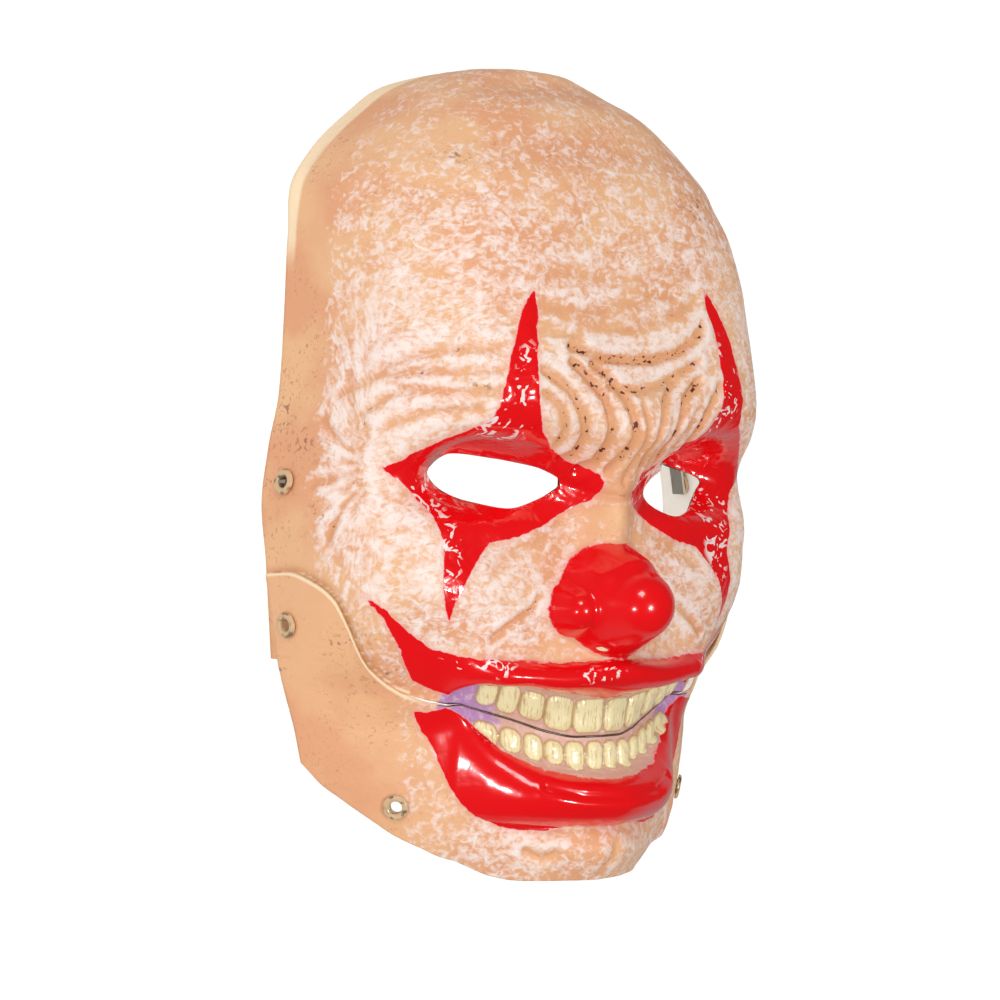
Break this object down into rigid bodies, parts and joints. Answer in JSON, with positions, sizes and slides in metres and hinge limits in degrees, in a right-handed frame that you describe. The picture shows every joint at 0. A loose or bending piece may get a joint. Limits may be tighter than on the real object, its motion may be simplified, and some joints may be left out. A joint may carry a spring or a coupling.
{
  "type": "clown mask",
  "caption": "Full-face plastic horror clown mask with a hinged jaw, red glossy nose and lips, painted eye spikes, moulded teeth, metal eyelets and a black elastic head strap",
  "frame": {"origin": "middle of the plane that the rear rim lies in, under the middle of the mask's length and width", "axes": "+X is the wearer's left, +Y points to the crown, +Z is the way the face looks; the rear rim lies in z = 0"},
  "size_m": [0.1938, 0.2925, 0.1059],
  "materials": {
    "painted_shell": "satin",
    "jaw_paint": "satin",
    "eyelet_metal": "satin",
    "strap_metal": "satin",
    "elastic": "matte"
  },
  "bodies": {
    "upper": {"upper_shell": "painted_shell", "temple_eyelet_right": "eyelet_metal", "temple_eyelet_left": "eyelet_metal", "hinge_eyelet_right": "eyelet_metal", "hinge_eyelet_left": "eyelet_metal", "strap_end_right": "strap_metal", "strap_end_left": "strap_metal", "head_strap": "elastic"},
    "jaw": {"jaw_shell": "jaw_paint", "jaw_eyelet_right": "eyelet_metal", "jaw_eyelet_left": "eyelet_metal"}
  },
  "joints": [
    {"name": "jaw_swing", "type": "hinge", "parent": "upper", "child": "jaw", "pos_m": [0, -0.0558, 0.01452], "axis": [1, 0, 0], "range_deg": [0, 12]}
  ]
}
